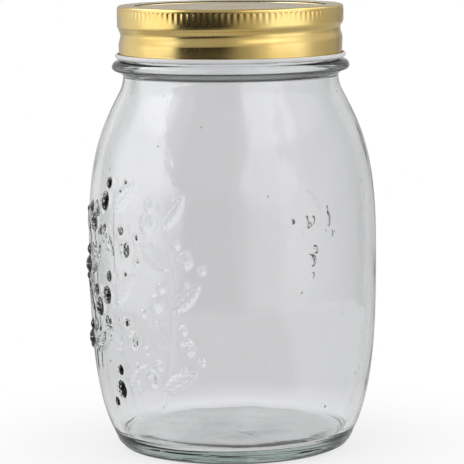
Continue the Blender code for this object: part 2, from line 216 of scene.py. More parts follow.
class StageSettings(bpy.types.PropertyGroup):
    """The floor, the studio's light and the camera."""

    floor_radius: FloatProperty(
        name="Floor", description="Radius of the floor", default=0.34, unit="LENGTH"
    )
    surround: FloatProperty(
        name="Surround", description="Brightness of the backdrop through the glass", default=0.69
    )
    backdrop: FloatProperty(
        name="Backdrop", description="Brightness of the backdrop in gloss", default=0.5
    )
    floor_gloss: FloatProperty(
        name="Floor gloss", description="Brightness of the floor in gloss", default=0.5
    )
    floor_through: FloatProperty(
        name="Floor through", description="Brightness of the nearest floor through the glass", default=1.0
    )
    even_light: FloatProperty(name="Even light", description="Light on matt surfaces", default=0.4)
    left_light: FloatProperty(name="Left", description="Brightness of the left screen", default=1.5)
    right_light: FloatProperty(name="Right", description="Brightness of the right screen", default=1.45)
    gap_light: FloatProperty(name="Gap", description="Brightness between the screens", default=0.008)
    ceiling: FloatProperty(name="Ceiling", description="Brightness overhead in gloss", default=0.42)


class JarSettings(bpy.types.PropertyGroup):
    """What the panel shows."""

    glass: PointerProperty(type=GlassSettings)
    band: PointerProperty(type=BandSettings)
    disc: PointerProperty(type=DiscSettings)
    stage: PointerProperty(type=StageSettings)


def curve_points(start, start_handle, end_handle, end, steps):
    """Points of a cubic curve after its start."""
    corners = [Vector((*point, 0)) for point in (start, start_handle, end_handle, end)]
    return [(point.x, point.y) for point in interpolate_bezier(*corners, steps + 1)[1:]]


def arc_points(centre, radius, first, last, steps):
    """Points of an arc from angle first to last."""
    angles = [first + (last - first) * step / steps for step in range(steps + 1)]
    return [(centre[0] + radius * math.cos(a), centre[1] + radius * math.sin(a)) for a in angles]


def line_points(start, end, steps):
    """Points of a straight line after its start."""
    shares = [step / steps for step in range(1, steps + 1)]
    return [(start[0] + (end[0] - start[0]) * s, start[1] + (end[1] - start[1]) * s) for s in shares]


def bowed_points(start, end, bow, steps):
    """Points of a near-straight line after its start, bowed outwards in its middle."""
    points = line_points(start, end, steps)
    shares = [step / steps for step in range(1, steps + 1)]
    return [(x + 4 * bow * s * (1 - s), y) for (x, y), s in zip(points, shares)]


def step_points(start, end, first_handle, last_handle, steps):
    """Points of an S-shaped step after its start, level at both ends."""
    first = (start[0] + first_handle, start[1])
    last = (end[0] - last_handle, end[1])
    return curve_points(start, first, last, end, steps)


def along(point, angle, length):
    """The point at a length from another in a direction."""
    return (point[0] + length * math.cos(angle), point[1] + length * math.sin(angle))


def smoothstep(low, high, value):
    """Rises smoothly from 0 at low to 1 at high."""
    share = min(max((value - low) / (high - low), 0), 1)
    return share * share * (3 - 2 * share)


def turn_of(point):
    """The turn of a point round the jar, up to half a turn either way."""
    return math.atan2(-point.x, -point.y)


def push(vert, radial):
    """Moves a vertex away from the Z axis by a length."""
    radius = math.hypot(vert.co.x, vert.co.y)
    vert.co.xy *= (radius + radial) / radius


def spun(outline, steps):
    """A bmesh of an outline turned once about Z, with its faces pointing outwards."""
    bm = bmesh.new()
    corners = [bm.verts.new((radius, 0, height)) for radius, height in outline]
    edges = [bm.edges.new(pair) for pair in zip(corners, corners[1:])]
    bmesh.ops.spin(
        bm,
        geom=corners + edges,
        cent=(0, 0, 0),
        axis=(0, 0, 1),
        angle=math.tau,
        steps=steps,
        use_merge=True,
    )
    bmesh.ops.remove_doubles(bm, verts=bm.verts, dist=POLE_MERGE)
    bmesh.ops.recalc_face_normals(bm, faces=bm.faces)
    return bm


def finish_piece(name, bm, materials, body, node):
    """Makes a smooth object of a bmesh that stands for a CAD node and rides on its body."""
    mesh = bpy.data.meshes.new(name)
    bm.to_mesh(mesh)
    bm.free()
    for material in materials:
        mesh.materials.append(material)
    mesh.shade_smooth()
    obj = bpy.data.objects.new(name, mesh)
    bpy.context.scene.collection.objects.link(obj)
    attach(obj, body)
    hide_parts(node)
    return obj


def give_thickness(obj, sheet):
    """Gives an outward-facing surface the sheet's thickness on its inner side, which takes the
    second material."""
    solidify = obj.modifiers.new("Sheet", "SOLIDIFY")
    solidify.thickness = sheet
    solidify.offset = -1
    solidify.use_even_offset = True
    solidify.material_offset = 1
    solidify.material_offset_rim = 1


class Value:
    """A shader socket that Python sums can use. Each sum adds its Math node."""

    def __init__(self, tree, socket):
        self.tree = tree
        self.socket = socket

    def math(self, operation, *others):
        sockets = dict(enumerate([self, *others]))
        return self.tree.add("ShaderNodeMath", {"operation": operation}, sockets)

    def __add__(self, other):
        return self.math("ADD", other)

    def __sub__(self, other):
        return self.math("SUBTRACT", other)

    def __rsub__(self, other):
        return self.tree.add("ShaderNodeMath", {"operation": "SUBTRACT"}, {0: other, 1: self})

    def __mul__(self, other):
        return self.math("MULTIPLY", other)

    def __neg__(self):
        return self.math("MULTIPLY", -1)

    __radd__ = __add__
    __rmul__ = __mul__

    def ramp(self, low, high, to_low=0, to_high=1):
        """Goes smoothly from to_low to to_high while this value goes from low to high."""
        sockets = {"Value": self, "From Min": low, "From Max": high, "To Min": to_low, "To Max": to_high}
        return self.tree.add("ShaderNodeMapRange", {"interpolation_type": "SMOOTHSTEP"}, sockets)

    def between(self, low, high, soft):
        """1 from low to high, and smoothly 0 outside them."""
        return self.ramp(low - soft, low + soft) * self.ramp(high - soft, high + soft, 1, 0)

    def levels(self, *stops):
        """Goes smoothly through stops of (this value, level), and stays level outside them."""
        total = stops[0][1]
        for (low, first), (high, second) in zip(stops, stops[1:]):
            total = self.ramp(low, high, 0, second - first) + total
        return total


class Tree:
    """A node tree that is built by one method."""

    def __init__(self, node_tree):
        self.nodes = node_tree.nodes
        self.links = node_tree.links
        self.nodes.clear()

    def add(self, kind, settings, sockets, out=0):
        """Adds a node with its settings and the values or links of its sockets, and gives its output."""
        node = self.nodes.new(kind)
        for name, value in settings.items():
            setattr(node, name, value)
        for name, value in sockets.items():
            if isinstance(value, Value):
                self.links.new(value.socket, node.inputs[name])
            else:
                node.inputs[name].default_value = value
        return Value(self, node.outputs[out]) if node.outputs else node

    def noise(self, vector, scale, detail=2.0, roughness=0.5):
        sockets = {"Vector": vector, "Scale": scale, "Detail": detail, "Roughness": roughness}
        return self.add("ShaderNodeTexNoise", {}, sockets)

    def mix(self, factor, first, second):
        """A colour between two others."""
        return self.add("ShaderNodeMix", {"data_type": "RGBA"}, {0: factor, 6: first, 7: second}, 2)

    def stretched(self, vector, scale):
        return self.add("ShaderNodeMapping", {}, {"Vector": vector, "Scale": scale})

    def bump(self, height, strength, distance):
        sockets = {"Height": height, "Strength": strength, "Distance": distance}
        return self.add("ShaderNodeBump", {}, sockets)


def colour(values):
    """An opaque colour."""
    return (*values, 1.0)


def new_material(name):
    """A material with an empty tree, and the place on the piece that its patterns read."""
    material = bpy.data.materials.new(name)
    material.use_nodes = True
    tree = Tree(material.node_tree)
    place = tree.add("ShaderNodeTexCoord", {}, {}, "Object")
    return material, tree, place


def principled(tree, sockets):
    """Ends a material's tree with a Principled shader."""
    shader = tree.add("ShaderNodeBsdfPrincipled", {}, sockets)
    tree.add("ShaderNodeOutputMaterial", {}, {"Surface": shader})


def clear_glass(settings):
    """Moulded soda-lime glass: faintly uneven, with a mould seam on both sides and a few nicks, and
    grey-green where it is thick."""
    seam_half_width = 0.0004
    seam_foot = (0.009, 0.014)
    relief = 0.0006
    material, tree, place = new_material("clear_glass")
    ripple = tree.noise(tree.stretched(place, (1, 1, 0.6)), 90, 3)
    haze = tree.noise(place, 35, 4).ramp(0.55, 0.75)
    tint = tree.mix(haze * 0.5, colour(settings.tint), colour(c * 0.985 for c in settings.tint))
    y, z = (tree.add("ShaderNodeSeparateXYZ", {}, {0: place}, axis) for axis in "YZ")
    seam = y.math("ABSOLUTE").ramp(0, seam_half_width, 1, 0) * z.ramp(*seam_foot)
    nick = tree.add("ShaderNodeTexVoronoi", {}, {"Vector": place, "Scale": 80}, "Distance")
    nick = nick.ramp(0.01, 0.045, 1, 0)
    shader = tree.add(
        "ShaderNodeBsdfPrincipled",
        {},
        {
            "Base Color": tint,
            "Roughness": 0.0,
            "IOR": 1.5,
            "Transmission Weight": 1.0,
            "Normal": tree.bump(ripple * 0.12 + seam * 0.05 + nick * 0.5, 1, relief),
        },
    )
    depth = tree.add(
        "ShaderNodeVolumeAbsorption",
        {},
        {"Color": colour(settings.depth_tint), "Density": settings.depth_density},
    )
    tree.add("ShaderNodeOutputMaterial", {}, {"Surface": shader, "Volume": depth})
    return material


def gold_lacquer(name, gold, roughness):
    """Gold lacquer over tinplate, with rolling streaks, handling haze and fine specks."""
    material, tree, place = new_material(name)
    cloud = tree.noise(place, 60, 4)
    streak = tree.noise(tree.stretched(place, (1, 1, 0.12)), 900, 2)
    speck = tree.noise(place, 1600, 1).ramp(0.70, 0.76)
    deep = tuple(c * share for c, share in zip(gold, (0.94, 0.88, 0.74)))
    tone = tree.mix(cloud.ramp(0.35, 0.7), colour(gold), colour(deep))
    tone = tree.mix(speck * 0.5, tone, (0.25, 0.16, 0.06, 1))
    blur = roughness + (cloud - 0.5) * 0.08 + (streak - 0.5) * 0.05 + speck * 0.15
    principled(
        tree,
        {
            "Base Color": tone,
            "Metallic": 1.0,
            "Roughness": blur,
            "Coat Weight": 0.12,
            "Coat Roughness": 0.12,
            "Normal": tree.bump(streak + cloud * 0.5, 0.08, 0.00004),
        },
    )
    return material


def white_lacquer(name, white):
    """The white lacquer of an inner face, which the band's curl turns out."""
    material, tree, place = new_material(name)
    cloud = tree.noise(place, 120, 3)
    tone = tree.mix(cloud.ramp(0.4, 0.7), colour(white), colour(c * 0.95 for c in white))
    principled(
        tree,
        {
            "Base Color": tone,
            "Roughness": 0.3 + cloud * 0.1,
            "Coat Weight": 0.3,
            "Normal": tree.bump(cloud, 0.1, 0.00003),
        },
    )
    return material


def sealing_compound(compound):
    """Soft compound that was flowed into the disc: matte, and slightly dimpled."""
    material, tree, place = new_material("sealing_compound")
    grain = tree.noise(place, 1400, 3)
    cloud = tree.noise(place, 90, 2)
    tone = tree.mix(cloud, colour(compound), colour(c * 0.75 for c in compound))
    principled(
        tree,
        {
            "Base Color": tone,
            "Roughness": 0.5 + grain * 0.15,
            "Normal": tree.bump(grain, 0.3, 0.00005),
        },
    )
    return material


def shoulder_fillet(radius, steps):
    """The fillet between a neck of this radius and the shoulder, downwards."""
    centre = (NECK_RADIUS + NECK_FILLET, SHOULDER_HEIGHT)
    return arc_points(centre, centre[0] - radius, math.pi, math.pi + SHOULDER_SLOPE, steps)


def upper_curve(shoulder, widest):
    """The cubic curve of the side from the shoulder's fillet down to the widest circle."""
    fall = shoulder[1] - widest[1]
    handle = along(shoulder, SHOULDER_SLOPE - QUARTER, 0.25 * fall)
    return shoulder, handle, (widest[0], widest[1] + 0.6 * fall), widest


def lower_curve(widest, heel):
    """The cubic curve of the side from the widest circle down to the heel."""
    fall = widest[1] - heel[1]
    handle = along(heel, HEEL_SLOPE, 0.26 * fall)
    return widest, (widest[0], widest[1] - 0.36 * fall), handle, heel


def outer_curves():
    """The two curves of the outside."""
    shoulder = shoulder_fillet(NECK_RADIUS, 7)[-1]
    widest = (BODY_RADIUS, WIDEST_HEIGHT)
    heel = (FOOT_RADIUS + HEEL_RUN, HEEL_HEIGHT)
    return upper_curve(shoulder, widest), lower_curve(widest, heel)


def inside_points(settings):
    """The inside of the glass from the middle of its floor up to the rim."""
    corner = 0.012
    outer_heel = outer_curves()[1][3]
    heel = along(outer_heel, HEEL_SLOPE + QUARTER, settings.wall)
    widest = (BODY_RADIUS - settings.wall, WIDEST_HEIGHT)
    fillet = shoulder_fillet(MOUTH_RADIUS, 6)
    middle = (0, settings.base + settings.crown)
    edge = (heel[0] - corner, settings.base)
    edge_handle = (edge[0] + 2 * corner / 3, edge[1])
    points = [middle]
    points += curve_points(middle, (edge[0] / 2, middle[1]), (2 * edge[0] / 3, edge[1]), edge, 12)
    points += curve_points(edge, edge_handle, along(heel, HEEL_SLOPE, -corner / 3), heel, 9)
    points += curve_points(*reversed(lower_curve(widest, heel)), 24)
    points += curve_points(*reversed(upper_curve(fillet[-1], widest)), 20)
    points += fillet[::-1][1:]
    return points + line_points(points[-1], (MOUTH_RADIUS, JAR_HEIGHT - RIM_RADIUS), 6)


def finish_points():
    """The rounded rim, the finish and the bead, whose lower half is flatter, outwards and down."""
    finish_radius = 0.0414
    finish_taper = 0.0002
    bead_radius = 0.04585
    flatness = 0.65
    rim_height = JAR_HEIGHT - RIM_RADIUS
    points = arc_points((MOUTH_RADIUS + RIM_RADIUS, rim_height), RIM_RADIUS, math.pi, QUARTER, 5)[1:]
    points += arc_points((finish_radius - RIM_RADIUS, rim_height), RIM_RADIUS, QUARTER, 0, 5)
    finish_foot = (finish_radius + finish_taper, BEAD_HEIGHT + BEAD_HALF_HEIGHT)
    points += line_points(points[-1], finish_foot, 30)
    bead_centre = (bead_radius - BEAD_HALF_HEIGHT, BEAD_HEIGHT)
    bead = arc_points(bead_centre, BEAD_HALF_HEIGHT, QUARTER, -QUARTER, 12)
    return points + [(x, max(y, BEAD_HEIGHT + flatness * (y - BEAD_HEIGHT))) for x, y in bead]


def outside_points():
    """The outside of the glass from the neck down to the foot."""
    top, bottom = outer_curves()
    heel = bottom[3]
    heel_handle = along(heel, HEEL_SLOPE, -HEEL_RUN / 2)
    foot = (FOOT_RADIUS, 0)
    foot_handle = (FOOT_RADIUS + 2 * HEEL_RUN / 3, 0)
    points = shoulder_fillet(NECK_RADIUS, 7) + curve_points(*top, 34) + curve_points(*bottom, 40)
    return points + curve_points(heel, heel_handle, foot_handle, foot, 24)


def underside_points(settings):
    """The underside from the inner edge of the bearing ring to the top of the push-up."""
    ring_width = 0.0015
    edge = FOOT_RADIUS - ring_width
    top = settings.push_up
    return [(edge, 0)] + curve_points((edge, 0), (2 * edge / 3, 0), (edge / 4, top), (0, top), 14)


def glass_outline(settings):
    """The glass from the middle of its floor over the rim to the middle of its underside."""
    return inside_points(settings) + finish_points() + outside_points() + underside_points(settings)


def cubic(curve, share, axis):
    """One coordinate of a point at a share of a cubic curve."""
    rest = 1 - share
    first, second, third, last = curve
    ends = rest**3 * first[axis] + share**3 * last[axis]
    return ends + 3 * rest * share * (rest * second[axis] + share * third[axis])


def radius_on(curve, height):
    """The radius of a falling cubic curve at a height, by halving."""
    low, high = 0.0, 1.0
    for _ in range(16):
        share = (low + high) / 2
        if cubic(curve, share, 1) > height:
            low = share
        else:
            high = share
    return cubic(curve, low, 0)


class Side:
    """The outside of the body from its heel to its shoulder."""

    def __init__(self):
        self.top, self.bottom = outer_curves()
        self.high = self.top[0][1]
        self.low = self.bottom[3][1]

    def radius(self, height):
        """The radius at a height."""
        return radius_on(self.top if height > WIDEST_HEIGHT else self.bottom, height)


class Leaf:
    """A pointed leaf with a groove along its middle."""

    def __init__(self, spot, lean, length, width, height):
        self.spot = spot
        self.lean = lean
        self.length = length
        self.width = width
        self.height = height
        self.reach = length / 2

    def relief(self, side, ahead):
        groove_half_width = 0.0009
        share = ahead / self.length + 0.5
        if not 0 < share < 1:
            return 0
        half = self.width / 2 * math.sin(math.pi * share**0.8) ** 0.7
        if abs(side) >= half:
            return 0
        dome = 1 - (side / half) ** 2
        groove = 0.35 * math.exp(-((side / groove_half_width) ** 2)) * smoothstep(0.98, 0.8, share)
        return self.height * max(dome - groove, 0)


class Berry:
    """A round berry, or a bud when it is small."""

    def __init__(self, spot, radius, height):
        self.spot = spot
        self.lean = 0
        self.radius = radius
        self.height = height
        self.reach = radius

    def relief(self, side, ahead):
        share = (side * side * 1.35 + ahead * ahead) / self.radius**2
        return self.height * (1 - share) ** 0.85 if share < 1 else 0


class Stem:
    """A bowed stem of soft section that thins towards its tip."""

    def __init__(self, foot_turn, tip_turn, bow, foot, tip, radius):
        self.foot_turn = math.radians(foot_turn)
        self.tip_turn = math.radians(tip_turn)
        self.bow = math.radians(bow)
        span = SHOULDER_HEIGHT - HEEL_HEIGHT
        self.foot = HEEL_HEIGHT + span * foot
        self.tip = HEEL_HEIGHT + span * tip
        self.stem_radius = radius

    def at(self, share):
        """The (turn, height) at a share of the stem, and its direction there."""
        sweep = self.tip_turn - self.foot_turn
        turned = self.foot_turn + sweep * share + self.bow * math.sin(math.pi * share)
        slope = sweep + self.bow * math.pi * math.cos(math.pi * share)
        direction = math.atan2(BODY_RADIUS * slope, self.tip - self.foot)
        return (turned, self.foot + (self.tip - self.foot) * share), direction

    def relief(self, turned, height, radius):
        share = (height - self.foot) / (self.tip - self.foot)
        inside = min(max(share, 0), 1)
        (middle, level), direction = self.at(inside)
        off = (turned - middle) * radius * math.cos(direction)
        distance = math.hypot(off, height - level)
        thick = self.stem_radius * (1 - 0.35 * inside)
        if distance >= thick:
            return 0
        return 0.16 * thick * math.cos(distance / thick * QUARTER) ** 2


def step_from(spot, direction, length):
    """The spot at a length from another, measured on the unrolled side."""
    turned, height = spot
    return turned + length * math.sin(direction) / BODY_RADIUS, height + length * math.cos(direction)


def sprigs(settings):
    """The stems of the relief, and the leaves and berries along them."""
    stems = []
    shapes = []
    for *course, size, leaves in STEMS:
        stem = Stem(*course, settings.stem * size)
        stems.append(stem)
        length = settings.leaf_length * size
        width = settings.leaf_width * size
        berry = settings.berry * size
        for i in range(leaves):
            side = 1 if i % 2 else -1
            spot, direction = stem.at((i + 0.5) / leaves)
            lean = direction + side * LEAF_LEAN
            middle = step_from(spot, lean, length / 2)
            shapes.append(Leaf(middle, lean, length, width, settings.leaf_height * size))
            for share, away, distance, radius_share, height_share in BERRIES:
                spot, direction = stem.at((i + share) / leaves)
                middle = step_from(spot, direction + side * away, distance * berry)
                height = settings.berry_height * size * height_share
                shapes.append(Berry(middle, berry * radius_share, height))
    return stems, shapes


def relief_at(stems, shapes, turned, height, radius):
    """How far the relief stands out at a spot of the side."""
    tallest = max(stem.relief(turned, height, radius) for stem in stems)
    for shape in shapes:
        across = (turned - shape.spot[0]) * radius
        up = height - shape.spot[1]
        if across * across + up * up < shape.reach**2:
            side = across * math.cos(shape.lean) - up * math.sin(shape.lean)
            ahead = across * math.sin(shape.lean) + up * math.cos(shape.lean)
            tallest = max(tallest, shape.relief(side, ahead))
    return tallest


def near_relief(stems, shapes, turned, height, margin):
    """Whether a spot of the side is on the relief or within a margin of it."""
    for shape in shapes:
        across = (turned - shape.spot[0]) * BODY_RADIUS
        if math.hypot(across, height - shape.spot[1]) < shape.reach + margin:
            return True
    for stem in stems:
        if stem.foot - margin < height < stem.tip + margin:
            share = min(max((height - stem.foot) / (stem.tip - stem.foot), 0), 1)
            (middle, _), direction = stem.at(share)
            if abs(turned - middle) * BODY_RADIUS * math.cos(direction) < stem.stem_radius + margin:
                return True
    return False


def fade(angle, ends):
    """Rises from 0 to 1 at the first end of a thread and falls to 0 at the last."""
    rise = min((angle - ends[0]) / THREAD_FADE, (ends[1] - angle) / THREAD_FADE, 1)
    return math.sin(max(rise, 0) * QUARTER)


def groove_height(angle):
    """Height of the middle of the band's rolled thread at an angle about Z."""
    return JAR_HEIGHT + THREAD_PITCH * (angle - THREAD_FRONT) / math.tau - THREAD_DROP


def thread_share(point, raised, half_widths, ends):
    """How far a thread stands out or in at a point, from 0 on the plain wall to 1 at its middle.
    Its half widths are those below and above its middle."""
    angle = math.atan2(point.y, point.x) % math.tau
    most = 0
    for whole_turns in range(-1, 2):
        turned = angle + math.tau * whole_turns
        off_middle = point.z - groove_height(turned) - raised
        off_middle = abs(off_middle) / half_widths[off_middle > 0]
        if off_middle < 1:
            most = max(most, math.cos(off_middle * QUARTER) ** 2 * fade(turned, ends))
    return most


def is_inside(vert):
    """Whether a vertex of the glass is on its inner wall."""
    return vert.normal.xy.dot(vert.co.xy) < 0


def unevenness(place):
    """How far moulded glass stands off its plain shape, between about -1 and 1."""
    return 0.6 * noise.noise(place * 30) + 0.7 * noise.noise(place * 65) + 0.3 * noise.noise(place * 130)


def heel_marks(place):
    """How far the flow streaks and the seam of the base's mould stand out on the heel."""
    seam_height = 0.0035
    seam_width = 0.0003
    seam_relief = 0.0002
    streak_relief = 0.00026
    streak = noise.noise(Vector((place.x * 25, place.y * 25, place.z * 900)))
    seam = math.exp(-(((place.z - seam_height) / seam_width) ** 2))
    return streak_relief * streak + seam_relief * seam


def wall_marks(place, settings):
    """How far the inner wall and the base stand off their plain shape, less so in the base."""
    even_share = 0.6 if place.z < settings.base + settings.crown else 1
    even_finish = smoothstep(0.165, 0.14, place.z)
    return settings.ripple * unevenness(place) * even_finish * even_share


def split_relief(bm, side, stems, shapes):
    """Splits the side near the relief finely, and gives the vertices there."""
    margin = 0.0013
    edges = set()
    relief_verts = set()
    for face in bm.faces:
        middle = face.calc_center_median()
        on_side = side.low + margin < middle.z < side.high - margin
        if on_side and face.normal.xy.dot(middle.xy) > 0:
            if near_relief(stems, shapes, turn_of(middle), middle.z, margin):
                edges.update(face.edges)
                relief_verts.update(face.verts)
    split = bmesh.ops.subdivide_edges(bm, edges=list(edges), cuts=4, use_grid_fill=True)
    made = split["geom_inner"] + split["geom_split"]
    new_verts = {item for item in made if isinstance(item, bmesh.types.BMVert)}
    for vert in new_verts:
        push(vert, side.radius(vert.co.z) - math.hypot(vert.co.x, vert.co.y))
    return relief_verts | new_verts


def shape_glass(bm, settings):
    """Gives the turned glass its relief, its thread and the marks of its moulding."""
    ridge_half_width = 0.0017
    ridge_height = 0.00125
    bearing_fade = 0.0008
    heel_inner = 0.04
    side = Side()
    stems, shapes = sprigs(settings)
    relief_verts = split_relief(bm, side, stems, shapes)
    bm.normal_update()
    for vert in bm.verts:
        radius = math.hypot(vert.co.x, vert.co.y)
        height = vert.co.z
        if height < settings.base + settings.crown and radius < side.bottom[3][0] or is_inside(vert):
            if radius > heel_inner and height < HEEL_HEIGHT and not is_inside(vert):
                raised = heel_marks(vert.co)
            else:
                raised = wall_marks(vert.co, settings)
            vert.co += vert.normal * raised * smoothstep(0, bearing_fade, height)
        elif vert in relief_verts:
            vert.co += vert.normal * relief_at(stems, shapes, turn_of(vert.co), height, radius)
        elif height > BEAD_HEIGHT + BEAD_HALF_HEIGHT:
            half_widths = (ridge_half_width, ridge_half_width)
            share = thread_share(vert.co, THREAD_PITCH / 2, half_widths, RIDGE_ENDS)
            push(vert, ridge_height * share)


def disc_outline(settings, sheet):
    """The top face of the disc from its button to the foot of its lip."""
    button_radius = 0.0066
    button_foot = 0.0098
    panel_edge = 0.0325
    channel = (0.035, 0.0364)
    seat_edge = 0.0374
    panel_drop = 0.0001
    lip = 0.0007
    handle = 0.0016
    channel_handle = 0.0015
    seat = RING_HIGH.z + RING_LOW.z - JAR_HEIGHT + sheet
    panel = seat - panel_drop
    sunk = seat - settings.countersink
    button = panel + settings.button_height
    lip_centre = (DISC_HIGH.x - lip, seat - lip)
    outline = [(0, button)]
    outline += line_points((0, button), (button_radius, button), 6)
    outline += step_points(outline[-1], (button_foot, panel), handle, handle, 8)
    outline += line_points(outline[-1], (panel_edge, panel), 8)
    outline += step_points(outline[-1], (channel[0], sunk), handle, channel_handle, 8)
    outline += line_points(outline[-1], (channel[1], sunk), 2)
    outline += step_points(outline[-1], (seat_edge, seat), lip, lip, 8)
    outline += line_points(outline[-1], (lip_centre[0], seat), 4)
    return outline + arc_points(lip_centre, lip, QUARTER, 0, 6)[1:]


def ring_outline():
    """The round-edged section of the sealing ring, closed."""
    inner = 0.0379
    half = (RING_HIGH.z - RING_LOW.z) / 2
    middle = RING_LOW.z + half
    outline = arc_points((inner + half, middle), half, 3 * QUARTER, QUARTER, 8)
    outline += arc_points((RING_HIGH.x - half, middle), half, QUARTER, -QUARTER, 8)
    return outline + outline[:1]


def band_outline(sheet):
    """The gold face of the band from the edge of its opening to the end of its outward curl."""
    top = BAND_HIGH.z
    opening = 0.0372
    radius = 0.04358
    skirt = 0.04323
    corner = 0.0011
    rim_foot = top - 0.0083
    step = 0.0003
    rim_bow = 0.00004
    skirt_bow = 0.00011
    taper = 0.00025
    hollow = 0.00062
    curl_sweep = math.radians(265)
    curl_centre = (skirt - taper + hollow, BAND_LOW.z + sheet + hollow)
    curl_start = (skirt - taper, curl_centre[1])
    skirt_foot = (curl_start[0], curl_start[1] + 0.0012)
    outline = [(opening, top)] + line_points((opening, top), (radius - corner, top), 4)
    outline += arc_points((radius - corner, top - corner), corner, QUARTER, 0, 8)[1:]
    outline += bowed_points(outline[-1], (radius, rim_foot + step), rim_bow, 9)
    outline += curve_points(outline[-1], (radius, rim_foot), (skirt, rim_foot), (skirt, rim_foot - step), 4)
    outline += bowed_points(outline[-1], skirt_foot, skirt_bow, 33)
    outline += line_points(outline[-1], curl_start, 3)
    return outline + arc_points(curl_centre, hollow, math.pi, math.pi + curl_sweep, 14)[1:]


def flute_share(angle, height, count, top):
    """How deep a flute is pressed at a point of the band's rim, from 0 to 1."""
    half_width_share = 0.44
    length = 0.0049
    share = (angle * count / math.tau) % 1 - 0.5
    down = (top - height) / length
    if abs(share) > half_width_share or not 0 < down < 1:
        return 0
    across = math.cos(share / half_width_share * QUARTER) ** 2
    return across * smoothstep(0, 0.11, down) * (1 - down) ** 1.4


def press_band(bm, settings):
    """Presses the flutes into the turned band, and rolls its thread."""
    flute_top = BAND_HIGH.z - 0.0013
    flute_zone = (flute_top - 0.005, flute_top + 0.0004)
    flute_inner = 0.0429
    groove_inner = 0.0428
    groove_floor = 0.04238
    groove_half_widths = (0.0041, 0.003)
    edges = set()
    for face in bm.faces:
        middle = face.calc_center_median()
        if flute_zone[0] < middle.z < flute_zone[1] and math.hypot(*middle.xy) > flute_inner:
            edges.update(face.edges)
    bmesh.ops.subdivide_edges(bm, edges=list(edges), cuts=3, use_grid_fill=True)
    for vert in bm.verts:
        radius = math.hypot(vert.co.x, vert.co.y)
        angle = math.atan2(vert.co.y, vert.co.x) % math.tau
        if radius > groove_inner:
            share = thread_share(vert.co, 0, groove_half_widths, GROOVE_ENDS)
            flute = flute_share(angle, vert.co.z, settings.flutes, flute_top)
            push(vert, -share * (radius - groove_floor) - settings.flute_depth * flute)


class JAR_OT_glass(bpy.types.Operator):
    """Adds the moulded glass with its relief"""

    bl_idname = "jar.glass"
    bl_label = "Glass"

    def execute(self, context):
        settings = context.scene.jar.glass
        bm = spun(glass_outline(settings), 192)
        shape_glass(bm, settings)
        material = clear_glass(settings)
        finish_piece("moulded_glass", bm, [material], "jar", "glass_jar")
        return {"FINISHED"}


class JAR_OT_ring(bpy.types.Operator):
    """Adds the ring of sealing compound"""

    bl_idname = "jar.sealing_ring"
    bl_label = "Sealing ring"

    def execute(self, context):
        bm = spun(ring_outline(), 160)
        material = sealing_compound(context.scene.jar.disc.compound)
        finish_piece("sealing_compound_ring", bm, [material], "lid", "sealing_ring")
        return {"FINISHED"}


class JAR_OT_disc(bpy.types.Operator):
    """Adds the stamped disc"""

    bl_idname = "jar.lid_disc"
    bl_label = "Lid disc"

    def execute(self, context):
        settings = context.scene.jar.disc
        band = context.scene.jar.band
        bm = spun(disc_outline(settings, band.sheet), 192)
        gold = gold_lacquer("disc_lacquer", settings.gold, settings.roughness)
        white = white_lacquer("disc_inner_lacquer", band.white)
        piece = finish_piece("stamped_disc", bm, [gold, white], "lid", "lid_disc")
        give_thickness(piece, band.sheet)
        return {"FINISHED"}


class JAR_OT_band(bpy.types.Operator):
    """Adds the fluted screw band"""

    bl_idname = "jar.screw_band"
    bl_label = "Screw band"

    def execute(self, context):
        settings = context.scene.jar.band
        bm = spun(band_outline(settings.sheet), 2 * settings.flutes)
        press_band(bm, settings)
        gold = gold_lacquer("gold_lacquer", settings.gold, settings.roughness)
        white = white_lacquer("white_lacquer", settings.white)
        piece = finish_piece("fluted_band", bm, [gold, white], "band", "screw_band")
        give_thickness(piece, settings.sheet)
        return {"FINISHED"}


def add_camera():
    """A long lens at the photograph's place, slightly above the lid and turned a little."""
    data = bpy.data.cameras.new("camera")
    data.lens = LENS_MM
    data.sensor_width = 36
    data.shift_x = -0.0009
    camera = bpy.data.objects.new("camera", data)
    bpy.context.scene.collection.objects.link(camera)
    pitch = Matrix.Rotation(QUARTER - CAMERA_FALL, 4, "X")
    roll = Matrix.Rotation(CAMERA_ROLL, 4, "Z")
    camera.matrix_world = Matrix.Translation(CAMERA_PLACE) @ pitch @ roll
    bpy.context.scene.camera = camera


def light_path(tree, name):
    """What Light Path says of a ray."""
    return tree.add("ShaderNodeLightPath", {}, {}, name)


def white_floor(settings):
    """White, brighter or darker only in gloss and through glass, and glowing further out, where it has to
    match the white around it. Through the glass it has painted shade under the jar and painted light to
    both sides further out."""
    shade_under_jar = (0.036, 0.78)
    beside_jar = (0.046, settings.floor_through)
    far = (0.13, settings.surround)
    material, tree, place = new_material("white_floor")
    distance = tree.add("ShaderNodeVectorMath", {"operation": "LENGTH"}, {0: place}, "Value")
    off_axis = tree.add("ShaderNodeSeparateXYZ", {}, {0: place}, "X").math("ABSOLUTE")
    # Through the glass the floor is painted darker under the jar, as its shadow there, and painted a little
    # lighter to both sides further out.
    seen = distance.levels(shade_under_jar, beside_jar, far)
    seen = seen + off_axis.ramp(0.026, 0.037) * distance.ramp(0.07, 0.11) * 0.055
    through = light_path(tree, "Is Transmission Ray")
    gloss = light_path(tree, "Is Glossy Ray") * (1 - through)
    tone = 1 - gloss * (1 - settings.floor_gloss) - through * (1 - seen)
    base = tree.mix(tone, (0, 0, 0, 1), (0.92, 0.92, 0.92, 1))
    white = tree.add("ShaderNodeBsdfPrincipled", {}, {"Base Color": base, "Roughness": 0.9})
    glow = tree.add("ShaderNodeEmission", {}, {"Color": (1, 1, 1, 1), "Strength": tone})
    edge = distance.ramp(0.055, 0.15)
    share = edge + (1 - edge) * 0.72
    surface = tree.add("ShaderNodeMixShader", {}, {0: share, 1: white, 2: glow})
    tree.add("ShaderNodeOutputMaterial", {}, {"Surface": surface})
    return material


